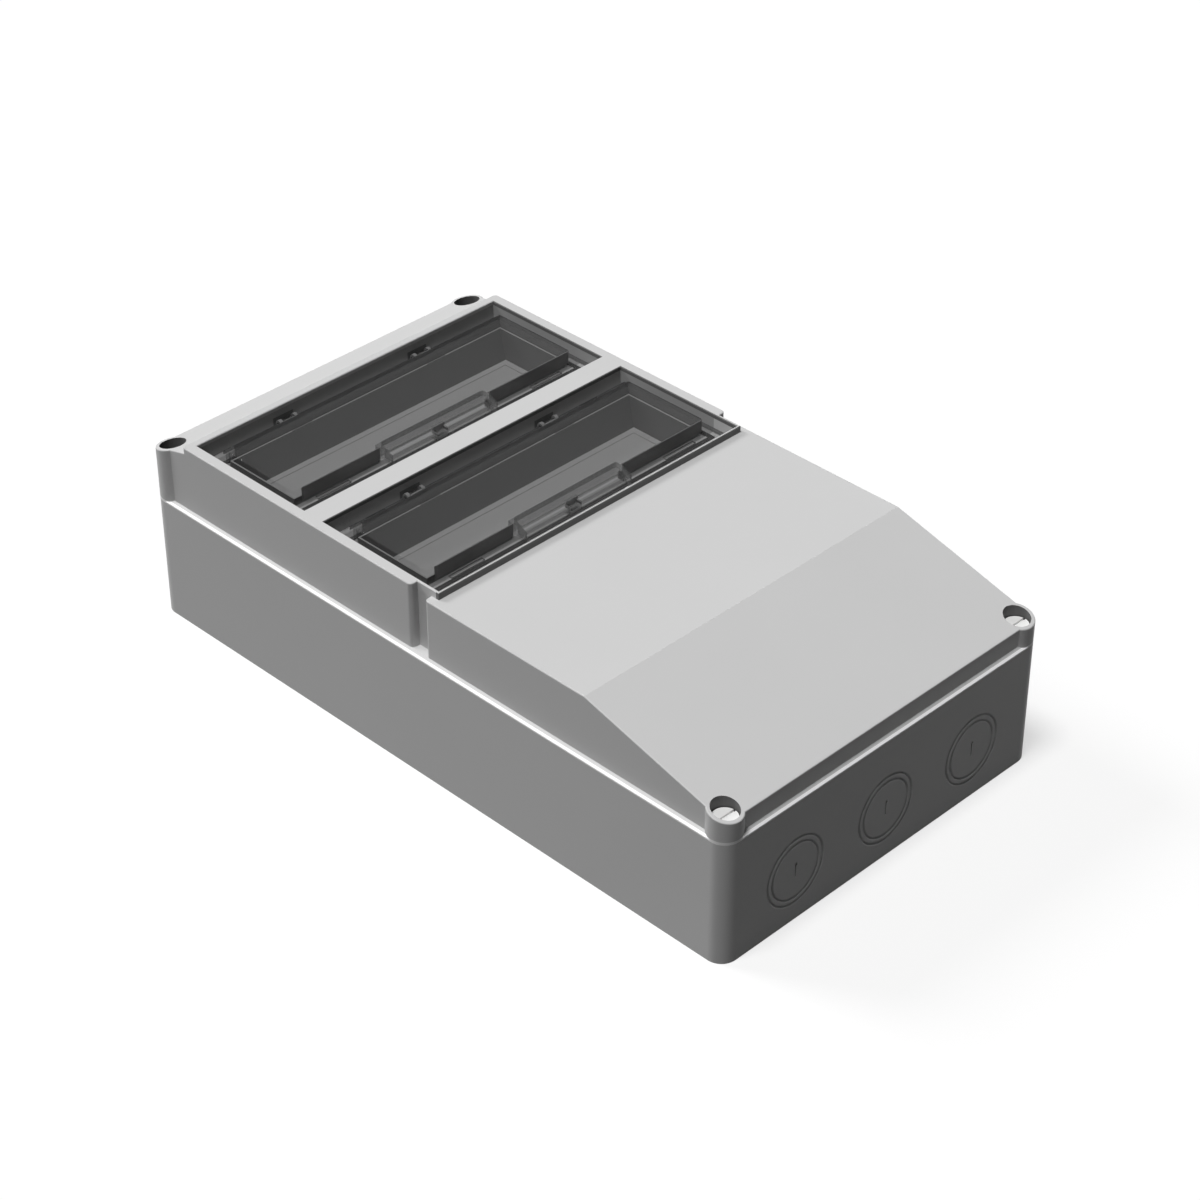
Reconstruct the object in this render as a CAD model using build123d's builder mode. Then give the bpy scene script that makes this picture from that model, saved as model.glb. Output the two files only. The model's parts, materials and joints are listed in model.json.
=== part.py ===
from build123d import *
import math
import os

os.makedirs("parts", exist_ok=True)

# Wall-mounted distribution box: a deep tub, a cover with two wells that carry hinged window flaps
# over two rows of modular devices, and a cable compartment under the cover's sloped near end.
# Millimetres. X runs across the box, Y along it towards the windows, Z up from the back face.
# The origin is the middle of the back face.

# Box outline
box_width = 287.0
box_length = 519.0
box_height = 141.0
post_radius = 11.5

# Tub
tub_wall = 3.5
tub_floor = 4.0
rim_width = 17.0
rim_thickness = 8.0
rim_bevel_rise = 2.1
cover_inset = 3.05

# Seal between tub and cover
seal_inset = 10.0
seal_width = 4.0
seal_depth = 3.5
seal_post_wall = 2.0
seal_clearance = 0.05
tongue_width = 1.4
tongue_height = 1.0
tongue_clearance = 0.1

# Cover screws, captive in the corner posts
screw_head_radius = 8.2
screw_head_height = 3.5
screw_slot_width = 1.8
screw_slot_depth = 1.6
screw_shank_radius = 3.0
screw_length = 40.0
screw_washer_thickness = 1.2
screw_washer_radius = 7.6
post_counterbore_radius = 9.0
post_seat_thickness = 4.4
shank_clearance = 0.15

# Wall fixing holes in the floor of the tub
fixing_margin_x = 33.5
fixing_margin_y = 34.5
fixing_hole_radius = 3.5
fixing_collar_radius = 9.0
fixing_collar_height = 9.0
fixing_head_radius = 6.6
fixing_seat = 2.5
plug_clearance = 0.1
plug_flange_thickness = 1.6
plug_stem_length = 3.0

# Knockouts in the near wall
knockout_pitch = 81.3
knockout_height = 38.0
knockout_count = 3
knockout_radii = (25.2, 21.2)
knockout_groove_width = 2.0
knockout_groove_depth = 1.0
gate_mark_length = 10.0
gate_mark_width = 1.0
gate_mark_depth = 0.6
gate_dot_radius = 1.3

# Cover outside
cover_height = 47.9
cover_wall = 3.0
foot_thickness = 3.0
slope_angle = 14.8
far_border = 6.0
far_step = 4.8
near_step = 5.0
near_slope_length = 116.6
frame_side_border = 2.1
frame_near_border = 1.7
shell_setback = 17.3
notch_width = 12.3
notch_edge_radius = 3.0
edge_radius = 0.8

# Windows
window_side_border = 11.0
window_width = 106.9
window_pitch = 125.0
window_margin = 38.2
ledge_depth = 13.9
ledge_thickness = 3.0
well_wall = 2.5
tray_depth = 31.2
tray_floor_side_border = 13.2
tray_floor_end_border = 25.8
tray_floor_thickness = 3.0
module_pitch = 17.5
aperture_clearance = 1.5
aperture_side_border = 4.0
aperture_end_border = 4.65
mouth_chamfer = 0.5
collar_height = 5.5
collar_wall = 1.2
collar_gap = 0.5

# Window flaps
flap_gap = 0.6
flap_top_gap = 0.1
flange_thickness = 3.0
flange_lift = 1.0
flap_wall = 2.0
flap_corner_radius = 2.0
dome_side_border = 9.0
dome_near_border = 21.6
dome_far_border = 16.5
dome_edge_radius = 1.0
flange_back_gap = 4.3

# Grip at the front of each flap
grip_half_length = 43.5
grip_scoop_half_length = 46.0
grip_scoop_depth = 4.4
grip_upper_drop = 4.2
grip_lower_drop = 6.5
grip_upper_reach = 2.0
grip_lower_reach = 5.7
grip_end_radius = 2.0
cheek_thickness = 1.6
cheek_reach = 8.5
cheek_drop = 5.0
seal_slot_length = 10.0
seal_slot_height = 3.4
seal_slot_depth = 5.0
finger_well_depth = 7.0
finger_well_front_gap = 1.2
finger_well_back_gap = 1.2

# Snap tongues under the flap and ribs on its flange
tongue_side_border = 37.5
tongue_near_border = 8.45
snap_tongue_length = 20.0
snap_tongue_thickness = 2.0
snap_tongue_depth = 5.0
snap_slot_clearance = 1.0
flange_rib_width = 3.0
flange_rib_height = 1.2
flange_rib_front_length = 28.0
flange_rib_back_length = 16.0

# Hinges of the flaps
hinge_x = 60.0
hinge_axis_height = 3.2
knuckle_radius = 2.8
knuckle_length = 9.6
knuckle_side_gap = 0.3
ear_thickness = 2.5
pin_radius = 1.25
pin_running_clearance = 0.05
pin_press_clearance = 0.02
pin_overhang = 0.6
ear_notch_gap = 1.2

# Flap seals
flap_seal_width = 3.0
flap_seal_clearance = 0.1
flap_seal_side = 1.4
flap_seal_near = 3.7
flap_seal_far = 6.0

# Blanking strips in the device apertures
strip_clearance = 0.15
strip_recess = 0.2
strip_lip = 2.0
strip_lip_thickness = 1.5
strip_rib_height = 2.0
strip_rib_width = 1.5

# Device rails, 35 mm top hat
rail_overhang = 15.0
rail_width = 35.0
rail_height = 7.5
rail_gauge = 1.0
rail_base_width = 27.0
device_depth = 44.0
rail_slot_length = 15.0
rail_slot_width = 6.2
rail_slot_pitch = 25.0

# Rail supports
support_side_gap = 38.5
support_length_x = 18.0
support_width_y = 34.0
support_wall = 2.5
support_foot_thickness = 4.0
support_foot_reach = 12.0
support_top_thickness = 12.0
boss_radius = 5.0
boss_height = 3.0
boss_pilot_radius = 1.8
boss_pilot_floor = 1.5
pilot_clearance = 0.1
small_screw_head_radius = 3.6
small_screw_head_height = 2.4
small_screw_radius = 1.7
small_screw_slot = 0.9
rail_screw_head_radius = 4.4
rail_screw_head_height = 2.8
rail_screw_radius = 2.4
rail_screw_length = 12.0

# Terminal bars and their brackets in the cable compartment
bracket_side_gap = 51.5
bracket_thickness = 14.0
bracket_crease_gap = 47.9
bracket_length = 76.0
bracket_foot_thickness = 5.0
bracket_screw_spacing = 62.0
bar_overhang = 10.0
bar_width = 8.0
bar_height = 10.0
bar_seat_clearance = 0.1
bar_pitch_y = 30.0
neutral_bar_z = 46.0
earth_bar_z = 34.0
bar_seat_depth = 4.0
bar_hole_radius = 2.75
bar_hole_pitch = 9.0
bar_hole_border = 3.0
bar_hole_height = 3.6
clamp_screw_radius = 1.6
clamp_screw_clearance = 0.1
clamp_head_radius = 2.5
clamp_head_height = 2.0
clamp_head_lift = 1.2
clamp_slot = 0.7
bar_screw_radius = 1.5
bar_screw_length = 16.0
slot_depth_share = 0.5

# Places worked out from the sizes
half_width = box_width / 2
half_length = box_length / 2
tub_height = box_height - cover_height
post_x = half_width - post_radius
post_y = half_length - post_radius
post_centres = [(sx * post_x, sy * post_y) for sx in (-1, 1) for sy in (-1, 1)]
cover_half_width = half_width - cover_inset
cover_half_length = half_length - cover_inset
cover_corner_radius = post_radius - cover_inset
deck_height = box_height
slope = math.tan(math.radians(slope_angle))

window_length = box_width - 2 * window_side_border
upper_row_y = half_length - window_margin - window_width / 2
lower_row_y = upper_row_y - window_pitch
rows = {"upper": upper_row_y, "lower": lower_row_y}

frame_half_width = window_length / 2 + frame_side_border
frame_far_y = upper_row_y + window_width / 2 + far_border
frame_near_y = lower_row_y - window_width / 2 - frame_near_border
shell_near_y = lower_row_y - window_width / 2 + shell_setback
near_block_y = shell_near_y - notch_width
crease_y = near_slope_length - half_length
near_flat_height = deck_height - near_step
far_slope_height = deck_height - far_step

ledge_z = deck_height - ledge_depth
tray_floor_z = deck_height - tray_depth
flange_bottom_z = ledge_z + flange_lift
flange_top_z = flange_bottom_z + flange_thickness
dome_half_length = window_length / 2 - dome_side_border
dome_near_offset = window_width / 2 - dome_near_border
dome_far_offset = window_width / 2 - dome_far_border
dome_top_z = deck_height - flap_top_gap
tongue_x = window_length / 2 - tongue_side_border
tongue_offset = window_width / 2 - tongue_near_border
hinge_z = ledge_z + hinge_axis_height
tray_floor_length = window_length - 2 * tray_floor_side_border
tray_floor_width = window_width - 2 * tray_floor_end_border
module_count = int((tray_floor_length - 2 * aperture_side_border - aperture_clearance) // module_pitch)
aperture_length = module_pitch * module_count + aperture_clearance
aperture_width = tray_floor_width - 2 * aperture_end_border

screw_seat_z = tub_height + post_seat_thickness
screw_head_z = screw_seat_z + screw_washer_thickness

boss_top_z = tub_floor + boss_height
rail_top_z = tray_floor_z - tray_floor_thickness - device_depth
rail_bottom_z = rail_top_z - rail_height
support_x = half_width - support_side_gap
rail_length = 2 * (support_x + rail_overhang)
support_screw_y = support_width_y / 2 + support_foot_reach / 2
bracket_x = half_width - bracket_side_gap
bracket_y = crease_y + bracket_crease_gap
bracket_screw_ys = [bracket_y + side * bracket_screw_spacing / 2 for side in (-1, 1)]
bar_ys = {"neutral": bracket_y + bar_pitch_y / 2, "earth": bracket_y - bar_pitch_y / 2}
bar_zs = {"neutral": neutral_bar_z, "earth": earth_bar_z}
bar_length = 2 * (bracket_x + bar_overhang)
bar_hole_count = 2 * int((bracket_x - bracket_thickness / 2 - bar_hole_border) // bar_hole_pitch)
bar_hole_xs = [(i - (bar_hole_count - 1) / 2) * bar_hole_pitch for i in range(bar_hole_count)]
fixing_x = half_width - fixing_margin_x
fixing_y = half_length - fixing_margin_y
fixing_centres = [(sx * fixing_x, sy * fixing_y) for sx in (-1, 1) for sy in (-1, 1)]


def save(part, label):
    part.label = label
    export_step(part, f"parts/{label}.step")


# A rectangle set in from the tub's outline, its corners bitten out around the screw posts
def inner_outline(inset):
    bite = post_radius + seal_post_wall + inset - seal_inset
    with BuildSketch() as outline:
        Rectangle(box_width - 2 * inset, box_length - 2 * inset)
        with Locations(*post_centres):
            Circle(bite, mode=Mode.SUBTRACT)
    return outline.sketch


# The height of the cover's outside at a place along the box, on the slopes at its two ends
def near_slope_z(y):
    return near_flat_height - (crease_y - y) * slope


def far_slope_z(y):
    return far_slope_height - (y - frame_far_y) * slope


rim_opening = inner_outline(rim_width)
seal_outside = inner_outline(seal_inset)
seal_inside = inner_outline(seal_inset + seal_width)
gasket_outside = inner_outline(seal_inset + seal_clearance)
gasket_inside = inner_outline(seal_inset + seal_width - seal_clearance)
tongue_inset = seal_inset + (seal_width - tongue_width) / 2
tongue_outside = inner_outline(tongue_inset)
tongue_inside = inner_outline(tongue_inset + tongue_width)
tongue_groove_outside = inner_outline(tongue_inset - tongue_clearance)
tongue_groove_inside = inner_outline(tongue_inset + tongue_width + tongue_clearance)

# Tub: floor, walls, rim with its seal channel, corner posts, bosses and knockouts
with BuildPart() as base_tub:
    with BuildSketch():
        RectangleRounded(box_width, box_length, post_radius)
    extrude(amount=tub_height)
    top_face = base_tub.faces().sort_by(Axis.Z)[-1]
    chamfer(top_face.edges(), length=cover_inset, length2=rim_bevel_rise, reference=top_face)
    with BuildSketch(Plane.XY.offset(tub_floor)):
        RectangleRounded(box_width - 2 * tub_wall, box_length - 2 * tub_wall, post_radius - tub_wall)
    extrude(amount=tub_height - rim_thickness - tub_floor, mode=Mode.SUBTRACT)
    with BuildSketch(Plane.XY.offset(tub_height)):
        add(rim_opening)
    extrude(amount=-rim_thickness, mode=Mode.SUBTRACT)
    with BuildSketch():
        with Locations(*post_centres):
            Circle(post_radius)
    extrude(amount=tub_height)
    with BuildSketch(Plane.XY.offset(tub_height)):
        with Locations(*post_centres):
            Circle(screw_shank_radius + shank_clearance)
    extrude(amount=post_seat_thickness - screw_length - shank_clearance, mode=Mode.SUBTRACT)
    with BuildSketch(Plane.XY.offset(tub_height)):
        add(seal_outside)
        add(seal_inside, mode=Mode.SUBTRACT)
    extrude(amount=-seal_depth, mode=Mode.SUBTRACT)

    # Wall fixing holes, each in a raised collar
    with BuildSketch(Plane.XY.offset(tub_floor)):
        with Locations(*fixing_centres):
            Circle(fixing_collar_radius)
    extrude(amount=fixing_collar_height)
    with BuildSketch(Plane.XY.offset(tub_floor + fixing_collar_height)):
        with Locations(*fixing_centres):
            Circle(fixing_head_radius)
    extrude(amount=fixing_seat - fixing_collar_height, mode=Mode.SUBTRACT)
    with BuildSketch():
        with Locations(*fixing_centres):
            Circle(fixing_hole_radius)
    extrude(amount=tub_floor + fixing_seat, mode=Mode.SUBTRACT)

    # Screw bosses under the rail supports and the terminal brackets
    boss_centres = [
        (sx * support_x, row_y + sy * support_screw_y)
        for row_y in rows.values() for sx in (-1, 1) for sy in (-1, 1)
    ] + [(sx * bracket_x, y) for sx in (-1, 1) for y in bracket_screw_ys]
    with BuildSketch(Plane.XY.offset(tub_floor)):
        with Locations(*boss_centres):
            Circle(boss_radius)
    extrude(amount=boss_height)
    with BuildSketch(Plane.XY.offset(boss_top_z)):
        with Locations(*boss_centres):
            Circle(boss_pilot_radius)
    extrude(amount=boss_pilot_floor - boss_top_z, mode=Mode.SUBTRACT)

    # Knockouts: two scored rings and a moulding mark in each
    for i in range(knockout_count):
        knockout_x = (i - (knockout_count - 1) / 2) * knockout_pitch
        for radius in knockout_radii:
            groove_middle = knockout_x + radius - knockout_groove_width / 2
            with BuildSketch(Plane.XY.offset(knockout_height)):
                with BuildLine():
                    Polyline(
                        (knockout_x + radius, -half_length),
                        (knockout_x + radius - knockout_groove_width, -half_length),
                        (groove_middle, knockout_groove_depth - half_length),
                        close=True,
                    )
                make_face()
            knockout_axis = Axis((knockout_x, -half_length, knockout_height), (0, 1, 0))
            revolve(axis=knockout_axis, mode=Mode.SUBTRACT)
        with BuildSketch(Plane.XZ.offset(half_length)):
            with Locations((knockout_x, knockout_height)):
                Rectangle(gate_mark_width, gate_mark_length)
            with Locations((knockout_x, knockout_height + gate_mark_length / 2)):
                Circle(gate_dot_radius)
        extrude(amount=-gate_mark_depth, mode=Mode.SUBTRACT)
save(base_tub.part, "base_tub")

# Seal lying in the rim's channel, grooved for the cover's tongue
with BuildPart() as cover_gasket:
    with BuildSketch(Plane.XY.offset(tub_height - seal_depth)):
        add(gasket_outside)
        add(gasket_inside, mode=Mode.SUBTRACT)
    extrude(amount=seal_depth)
    with BuildSketch(Plane.XY.offset(tub_height)):
        add(tongue_groove_outside)
        add(tongue_groove_inside, mode=Mode.SUBTRACT)
    extrude(amount=-tongue_height - tongue_clearance, mode=Mode.SUBTRACT)
save(cover_gasket.part, "cover_gasket")

# Plugs that close the wall fixing holes from inside
with BuildPart() as fixing_plugs:
    with BuildSketch(Plane.XY.offset(tub_floor + fixing_collar_height)):
        with Locations(*fixing_centres):
            Circle(fixing_collar_radius)
    extrude(amount=plug_flange_thickness)
    with BuildSketch(Plane.XY.offset(tub_floor + fixing_collar_height)):
        with Locations(*fixing_centres):
            Circle(fixing_head_radius - plug_clearance)
    extrude(amount=-plug_stem_length)
save(fixing_plugs.part, "fixing_plugs")

# Inside of the cover
with BuildPart() as cover_hollow:
    with BuildSketch(Plane.YZ):
        with BuildLine():
            Polyline(
                (shell_near_y + cover_wall, tub_height),
                (shell_near_y + cover_wall, deck_height - cover_wall),
                (frame_far_y - cover_wall, deck_height - cover_wall),
                (frame_far_y - cover_wall, far_slope_z(frame_far_y - cover_wall) - cover_wall),
                (cover_half_length - cover_wall, far_slope_z(cover_half_length - cover_wall) - cover_wall),
                (cover_half_length - cover_wall, tub_height),
                close=True,
            )
        make_face()
    extrude(amount=cover_half_width - cover_wall, both=True)
    with BuildSketch(Plane.YZ):
        with BuildLine():
            Polyline(
                (near_block_y - cover_wall, tub_height),
                (near_block_y - cover_wall, near_flat_height - cover_wall),
                (crease_y, near_flat_height - cover_wall),
                (cover_wall - cover_half_length, near_slope_z(cover_wall - cover_half_length) - cover_wall),
                (cover_wall - cover_half_length, tub_height),
                close=True,
            )
        make_face()
    extrude(amount=cover_half_width - cover_wall, both=True)
    with BuildSketch(Plane.XY.offset(tub_height)):
        with Locations((0, (frame_far_y + frame_near_y) / 2)):
            Rectangle(2 * (frame_half_width - cover_wall), frame_far_y - frame_near_y - 2 * cover_wall)
    extrude(amount=near_flat_height - cover_wall - tub_height)

# Screw posts of the cover, their tops cut to the slopes at the two ends
with BuildPart() as cover_posts:
    with BuildSketch(Plane.XY.offset(tub_height)):
        with Locations(*post_centres):
            Circle(post_radius)
    extrude(amount=deck_height - tub_height)
    with BuildSketch(Plane.YZ):
        with BuildLine():
            Polyline(
                (-half_length, tub_height),
                (-half_length, near_slope_z(-half_length)),
                (crease_y, near_flat_height),
                (frame_far_y, far_slope_height),
                (half_length, far_slope_z(half_length)),
                (half_length, tub_height),
                close=True,
            )
        make_face()
    extrude(amount=half_width, both=True, mode=Mode.INTERSECT)
    fillet(cover_posts.edges().filter_by(GeomType.ELLIPSE), radius=edge_radius)

# Outside of the cover around the windows, its upper edges rounded
with BuildPart() as window_shell:
    with BuildSketch(Plane.YZ):
        with BuildLine():
            Polyline(
                (shell_near_y, tub_height),
                (shell_near_y, deck_height),
                (frame_far_y, deck_height),
                (frame_far_y, far_slope_height),
                (cover_half_length, far_slope_z(cover_half_length)),
                (cover_half_length, tub_height),
                close=True,
            )
        make_face()
    extrude(amount=cover_half_width, both=True)
    fillet(window_shell.edges().filter_by(Axis.Z).group_by(Axis.Y)[-1], radius=cover_corner_radius)
    step_edges = window_shell.edges().filter_by(Axis.Z).filter_by_position(Axis.Y, shell_near_y, frame_far_y)
    fillet(step_edges, radius=notch_edge_radius)
    fillet(window_shell.faces().sort_by(Axis.Z)[-1].edges(), radius=edge_radius)
    far_edges = window_shell.edges().filter_by_position(Axis.Y, frame_far_y + edge_radius, half_length)
    fillet(far_edges.filter_by_position(Axis.Z, far_slope_z(half_length), deck_height), radius=edge_radius)

# Window frame where it reaches past the side notches
with BuildPart() as frame_block:
    with BuildSketch(Plane.XY.offset(tub_height)):
        with Locations((0, (upper_row_y + frame_near_y) / 2)):
            Rectangle(2 * frame_half_width, upper_row_y - frame_near_y)
    extrude(amount=cover_height)
    fillet(frame_block.faces().sort_by(Axis.Z)[-1].edges(), radius=edge_radius)

# Near block: flat over the cable compartment, then the slope
with BuildPart() as near_block:
    with BuildSketch(Plane.YZ):
        with BuildLine():
            Polyline(
                (near_block_y, tub_height),
                (near_block_y, near_flat_height),
                (crease_y, near_flat_height),
                (-cover_half_length, near_slope_z(-cover_half_length)),
                (-cover_half_length, tub_height),
                close=True,
            )
        make_face()
    extrude(amount=cover_half_width, both=True)
    fillet(near_block.edges().filter_by(Axis.Z).group_by(Axis.Y)[0], radius=cover_corner_radius)
    fillet(near_block.edges().filter_by(Axis.Z).group_by(Axis.Y)[-1], radius=notch_edge_radius)
    upper_faces = near_block.faces().sort_by(Axis.Z)
    flat_edges = upper_faces[-1].edges().filter_by_position(Axis.Y, crease_y + edge_radius, shell_near_y)
    slope_edges = upper_faces[-2].edges().filter_by_position(Axis.Y, -half_length, crease_y - edge_radius)
    fillet(flat_edges + slope_edges, radius=edge_radius)

# Cover: one moulding with the raised window deck, side notches, slopes and screw posts
with BuildPart() as cover:
    add(window_shell.part)
    add(frame_block.part)
    add(near_block.part)
    add(cover_hollow.part, mode=Mode.SUBTRACT)

    # Foot flange on the rim, with the tongue that presses on the seal
    with BuildSketch(Plane.XY.offset(tub_height)):
        with Locations((0, (cover_half_length + shell_near_y) / 2)):
            Rectangle(2 * (cover_half_width - cover_wall / 2), cover_half_length - shell_near_y - cover_wall)
        with Locations((0, (near_block_y - cover_half_length) / 2)):
            Rectangle(2 * (cover_half_width - cover_wall / 2), near_block_y + cover_half_length - cover_wall)
        with Locations((0, (shell_near_y + near_block_y) / 2)):
            Rectangle(2 * frame_half_width - cover_wall, notch_width + 2 * cover_wall)
        with Locations(*post_centres):
            Circle(post_radius - cover_wall, mode=Mode.SUBTRACT)
        add(rim_opening, mode=Mode.SUBTRACT)
    extrude(amount=foot_thickness)
    with BuildSketch(Plane.XY.offset(tub_height)):
        add(tongue_outside)
        add(tongue_inside, mode=Mode.SUBTRACT)
    extrude(amount=-tongue_height)
    add(cover_posts.part)
    with BuildSketch(Plane.XY.offset(screw_seat_z)):
        with Locations(*post_centres):
            Circle(post_counterbore_radius)
    extrude(amount=deck_height - screw_seat_z, mode=Mode.SUBTRACT)
    with BuildSketch(Plane.XY.offset(tub_height)):
        with Locations(*post_centres):
            Circle(screw_shank_radius + shank_clearance)
    extrude(amount=post_seat_thickness, mode=Mode.SUBTRACT)

    # Openings over the window wells, with bevelled mouths
    for row_y in rows.values():
        with BuildSketch(Plane.XY.offset(ledge_z)):
            with Locations((0, row_y)):
                Rectangle(window_length, window_width)
        extrude(amount=ledge_depth, mode=Mode.SUBTRACT)
        with BuildSketch(Plane.XY.offset(deck_height - mouth_chamfer)):
            with Locations((0, row_y)):
                Rectangle(window_length, window_width)
        extrude(amount=mouth_chamfer, taper=-45, mode=Mode.SUBTRACT)
save(cover.part, "cover")


# Window well under the deck: recess, drafted tray, device aperture, finger well, slots and hinge ears
def window_well(row_y):
    tray_under_z = tray_floor_z - tray_floor_thickness
    finger_near_y = row_y - window_width / 2 + finger_well_front_gap
    finger_far_y = row_y - dome_near_offset - grip_lower_reach - finger_well_back_gap
    finger_mid_y = (finger_near_y + finger_far_y) / 2
    finger_width = finger_far_y - finger_near_y
    hinge_y = row_y + window_width / 2 - flange_back_gap
    ear_offset = knuckle_length / 2 + knuckle_side_gap + ear_thickness / 2
    collar_inset = flap_wall + collar_gap
    collar_length = 2 * (dome_half_length - collar_inset)
    collar_near_y = row_y - dome_near_offset + collar_inset
    collar_far_y = row_y + dome_far_offset - collar_inset
    collar_width = collar_far_y - collar_near_y
    collar_mid_y = (collar_near_y + collar_far_y) / 2
    shell_margin = well_wall - collar_wall
    with BuildPart() as well:
        with BuildSketch(Plane.XY.offset(ledge_z - ledge_thickness)):
            with Locations((0, row_y)):
                Rectangle(window_length + 2 * well_wall, window_width + 2 * well_wall)
        extrude(amount=ledge_thickness + ledge_depth - cover_wall)
        with BuildSketch(Plane.XY.offset(tray_under_z)):
            with Locations((0, row_y)):
                Rectangle(tray_floor_length + 2 * well_wall, tray_floor_width + 2 * well_wall)
        with BuildSketch(Plane.XY.offset(ledge_z - ledge_thickness)):
            with Locations((0, collar_mid_y)):
                Rectangle(collar_length + 2 * shell_margin, collar_width + 2 * shell_margin)
        loft(ruled=True)
        with BuildSketch(Plane.XY.offset(ledge_z)):
            with Locations((0, finger_mid_y)):
                Rectangle(2 * (grip_half_length + well_wall), finger_width + 2 * well_wall)
        extrude(amount=-finger_well_depth - well_wall)
        add(cover_hollow.part, mode=Mode.INTERSECT)

        # Recess, and the collar that stands round the tray inside the dome, open behind the grip
        with BuildSketch(Plane.XY.offset(ledge_z)):
            with Locations((0, row_y)):
                Rectangle(window_length, window_width)
        extrude(amount=ledge_depth, mode=Mode.SUBTRACT)
        with BuildSketch(Plane.XY.offset(ledge_z)):
            with Locations((0, collar_mid_y)):
                Rectangle(collar_length, collar_width)
            with Locations((0, collar_near_y)):
                Rectangle(
                    2 * (grip_scoop_half_length + flap_wall + collar_gap),
                    2 * (grip_scoop_depth + flap_wall),
                    mode=Mode.SUBTRACT,
                )
        extrude(amount=collar_height)

        # Tray from the collar's top down to its floor, and the aperture
        with BuildSketch(Plane.XY.offset(tray_floor_z)):
            with Locations((0, row_y)):
                Rectangle(tray_floor_length, tray_floor_width)
        with BuildSketch(Plane.XY.offset(ledge_z + collar_height)):
            with Locations((0, collar_mid_y)):
                Rectangle(collar_length - 2 * collar_wall, collar_width - 2 * collar_wall)
        loft(ruled=True, mode=Mode.SUBTRACT)
        with BuildSketch(Plane.XY.offset(tray_floor_z)):
            with Locations((0, row_y)):
                Rectangle(aperture_length, aperture_width)
        extrude(amount=-tray_floor_thickness, mode=Mode.SUBTRACT)

        # Finger well, and the slots that the flap's tongues snap into
        with BuildSketch(Plane.XY.offset(ledge_z)):
            with Locations((0, finger_mid_y)):
                Rectangle(2 * grip_half_length, finger_width)
        extrude(amount=-finger_well_depth, mode=Mode.SUBTRACT)
        with BuildSketch(Plane.XY.offset(ledge_z)):
            with Locations(*[(sx * tongue_x, row_y - tongue_offset) for sx in (-1, 1)]):
                Rectangle(
                    snap_tongue_length + 2 * snap_slot_clearance,
                    snap_tongue_thickness + 2 * snap_slot_clearance,
                )
        extrude(amount=-ledge_thickness, mode=Mode.SUBTRACT)

        # Hinge ears either side of each knuckle
        for ear_x in [sx * hinge_x + side * ear_offset for sx in (-1, 1) for side in (-1, 1)]:
            with BuildSketch(Plane.YZ.offset(ear_x)):
                with Locations((hinge_y, hinge_z)):
                    Circle(knuckle_radius)
                with Locations((hinge_y, (hinge_z + ledge_z) / 2)):
                    Rectangle(2 * knuckle_radius, hinge_z - ledge_z)
                with Locations((hinge_y, hinge_z)):
                    Circle(pin_radius + pin_press_clearance, mode=Mode.SUBTRACT)
            extrude(amount=ear_thickness / 2, both=True)
    return well.part


# Cover screws and the sealing washers under their heads
with BuildPart() as cover_screws:
    with BuildSketch(Plane.XY.offset(screw_head_z)):
        with Locations(*post_centres):
            Circle(screw_head_radius)
    extrude(amount=screw_head_height)
    fillet(cover_screws.faces().sort_by(Axis.Z)[-1].edges(), radius=edge_radius)
    with BuildSketch(Plane.XY.offset(screw_head_z)):
        with Locations(*post_centres):
            Circle(screw_shank_radius)
    extrude(amount=-screw_washer_thickness - screw_length)
    with BuildSketch(Plane.XY.offset(screw_head_z + screw_head_height)):
        with Locations(*post_centres):
            Rectangle(2 * screw_head_radius, screw_slot_width)
    extrude(amount=-screw_slot_depth, mode=Mode.SUBTRACT)
save(cover_screws.part, "cover_screws")

with BuildPart() as screw_washers:
    with BuildSketch(Plane.XY.offset(screw_seat_z)):
        with Locations(*post_centres):
            Circle(screw_washer_radius)
            Circle(screw_shank_radius + shank_clearance, mode=Mode.SUBTRACT)
    extrude(amount=screw_washer_thickness)
save(screw_washers.part, "screw_washers")


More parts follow.
